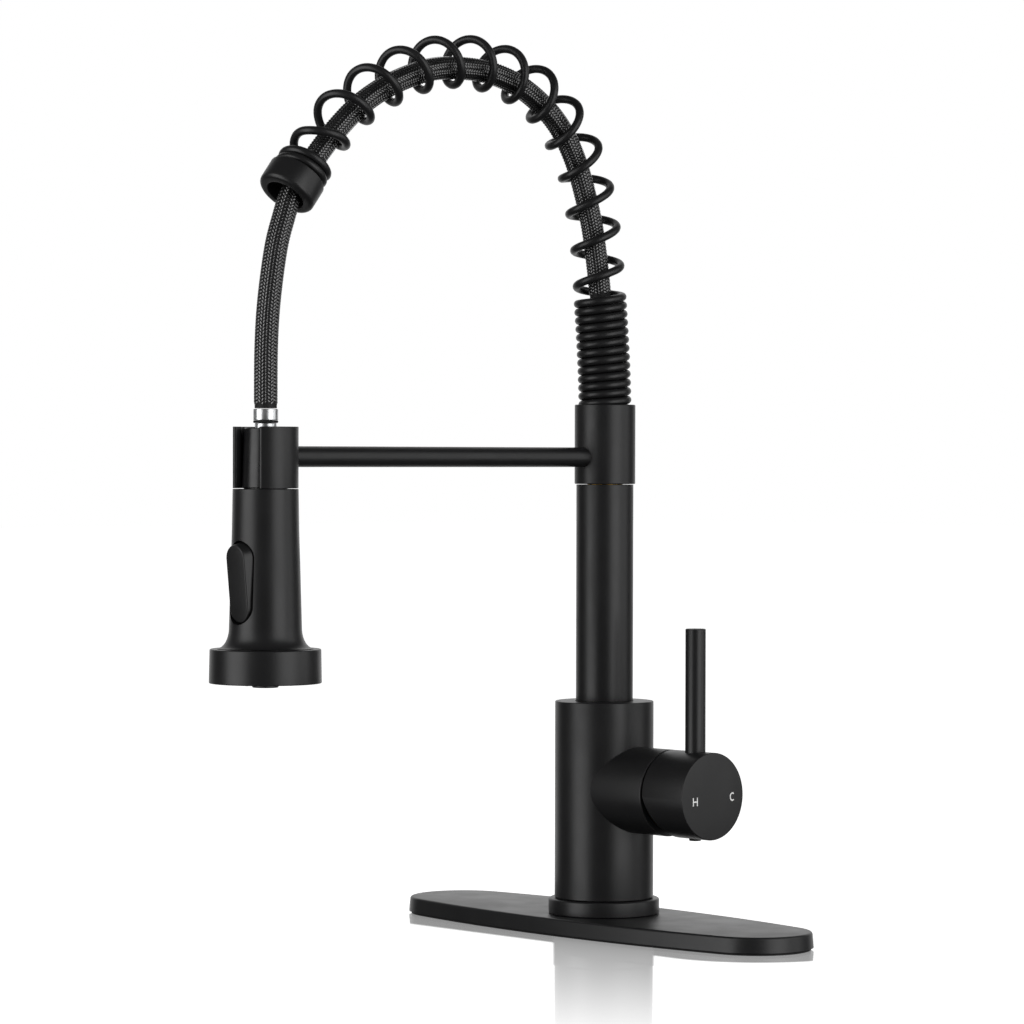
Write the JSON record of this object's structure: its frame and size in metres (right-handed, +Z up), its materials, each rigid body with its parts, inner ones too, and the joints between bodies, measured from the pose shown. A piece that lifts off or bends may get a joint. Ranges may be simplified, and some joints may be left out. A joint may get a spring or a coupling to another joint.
{
  "type": "pull-down spring spout kitchen faucet",
  "caption": "Single-handle kitchen faucet with a spring spout, a docked pull-down spray head and an oval deck plate.",
  "frame": {"origin": "on the column's axis, at the deck, in the middle of the mounting spigot's lower face", "axes": "+Z up along the column, -Y along the arm towards the spray head, +X along the handle"},
  "size_m": [0.26, 0.2783, 0.4329],
  "materials": {
    "matte_black": "matte black powder coat",
    "matte_black_shell": "matte black painted plastic",
    "gloss_black": "polished black",
    "chrome": "polished",
    "brass": "turned",
    "steel": "plain",
    "rubber": "soft matte",
    "white_plastic": "moulded",
    "dark_plastic": "moulded",
    "ceramic": "lapped ceramic, recorded under gloss plastic",
    "white_ink": "filled marks",
    "black_braid": "nylon braid"
  },
  "bodies": {
    "base": {"deck_gasket": "rubber", "deck_plate": "matte_black", "base_ring": "matte_black", "base_ring_seal": "rubber", "mounting_spigot": "brass", "hot_inlet_fitting": "brass", "cold_inlet_fitting": "brass", "faucet_body": "matte_black", "swivel_lock_screw": "steel", "cartridge_body": "white_plastic", "ceramic_disc_fixed": "ceramic", "cartridge_nut": "brass", "cartridge_bonnet": "dark_plastic"},
    "temperature_carrier": {"ceramic_disc_moving": "ceramic", "cartridge_rotor": "dark_plastic", "stem_pivot_pin": "steel"},
    "handle": {"cartridge_stem": "brass", "handle_knob": "matte_black", "lever_rod": "matte_black", "handle_set_screw": "steel", "set_screw_plug": "rubber", "hot_mark": "white_ink", "cold_mark": "white_ink"},
    "spout": {"riser_tube": "matte_black", "riser_swivel_plug": "brass", "swivel_washer": "white_plastic", "swivel_o_ring_1": "rubber", "swivel_o_ring_2": "rubber", "riser_top_nipple": "brass", "holder_sleeve": "matte_black", "sleeve_lock_screw": "steel", "arm_rod": "matte_black", "dock_ring": "matte_black", "spout_spring": "matte_black", "spring_collar": "matte_black", "spray_hose": "black_braid", "hose_nut": "brass"},
    "hose_end": {"hose_nipple": "chrome", "hose_ring_seal": "rubber", "hose_ferrule": "chrome"},
    "spray_head": {"docking_stem": "gloss_black", "spray_shell": "matte_black_shell", "waterway_core": "white_plastic", "face_ring": "matte_black_shell", "nozzle_plate": "rubber", "aerator": "dark_plastic", "toggle_pin": "steel"},
    "toggle": {"spray_toggle": "matte_black_shell"},
    "diverter": {"diverter_plunger": "brass"}
  },
  "joints": [
    {"name": "spout_swivel", "type": "hinge", "parent": "base", "child": "spout", "pos_m": [0, 0, 0.113], "axis": [0, 0, 1], "continuous": true},
    {"name": "handle_temperature", "type": "hinge", "parent": "base", "child": "temperature_carrier", "pos_m": [0.032, 0, 0.0704], "axis": [1, 0, 0], "range_deg": [-45, 45]},
    {"name": "handle_flow", "type": "hinge", "parent": "temperature_carrier", "child": "handle", "pos_m": [0.032, 0, 0.0704], "axis": [0, 1, 0], "range_deg": [0, 18]},
    {"name": "spray_pull_down", "type": "slide", "parent": "spout", "child": "hose_end", "axis": [0, 0, -1], "range_m": [0, 0.045], "deforming": ["spray_hose"]},
    {"name": "spray_turn", "type": "hinge", "parent": "hose_end", "child": "spray_head", "pos_m": [0, -0.2156, 0.2457], "axis": [0, 0, 1], "continuous": true},
    {"name": "spray_toggle", "type": "hinge", "parent": "spray_head", "child": "toggle", "pos_m": [0, -0.2265, 0.1755], "axis": [-1, 0, 0], "range_deg": [0, 11.5]},
    {"name": "diverter_slide", "type": "slide", "parent": "spray_head", "child": "diverter", "axis": [0, -1, 0], "range_m": [0, 0.0024]}
  ],
  "couplings": [
    {"joint": "diverter_slide", "follows": "spray_toggle", "m_per_rad": 0.011}
  ]
}
